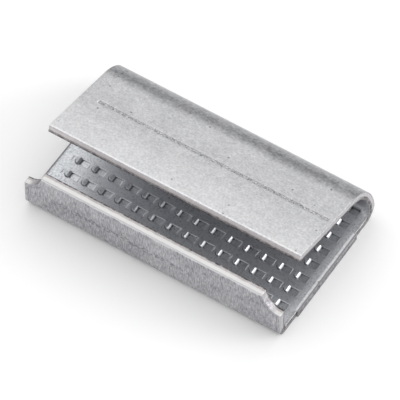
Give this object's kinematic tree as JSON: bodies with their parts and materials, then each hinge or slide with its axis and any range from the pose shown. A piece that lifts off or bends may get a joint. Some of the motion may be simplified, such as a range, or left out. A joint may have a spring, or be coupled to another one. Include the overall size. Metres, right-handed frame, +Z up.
{
  "type": "strapping seal",
  "caption": "Open strapping seal folded from one strip of zinc-coated sheet steel: flat seat with grip teeth, upright lip with notched corners and a leaning flap, open at both ends.",
  "frame": {"origin": "under the middle of the folded seal, on the flat underside it rests on", "axes": "+X along the seal, the way the straps run; +Y from the lip towards the heel; +Z up from the seat"},
  "size_m": [0.0324, 0.019, 0.0095],
  "materials": {
    "galvanised_steel": "satin"
  },
  "bodies": {
    "root": {"seal_body": "galvanised_steel"}
  },
  "joints": []
}
